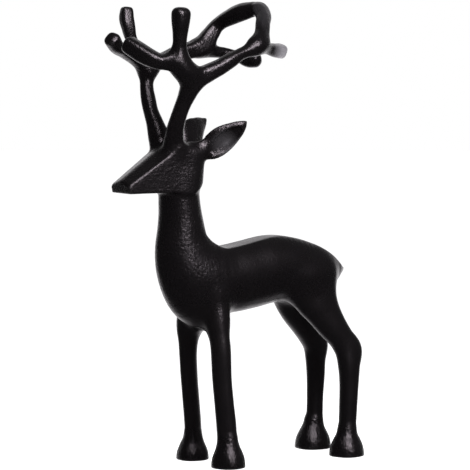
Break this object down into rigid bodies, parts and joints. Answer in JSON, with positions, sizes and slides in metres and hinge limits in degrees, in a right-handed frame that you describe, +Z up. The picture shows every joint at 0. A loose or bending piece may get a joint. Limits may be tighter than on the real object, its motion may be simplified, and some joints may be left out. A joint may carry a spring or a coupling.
{
  "type": "reindeer figure",
  "caption": "Standing reindeer figure cast in metal and coated black, with a faceted muzzle, bell-shaped hooves and branched antlers that curl in to meet behind the head.",
  "frame": {"origin": "on the floor under the centre of the figure's bounding box", "axes": "+Z up, the animal faces -Y, +X is its own left side"},
  "size_m": [0.1008, 0.2491, 0.4175],
  "materials": {
    "black_coat": "satin black coating over cast aluminium"
  },
  "bodies": {
    "root": {"reindeer": "black_coat"}
  },
  "joints": []
}
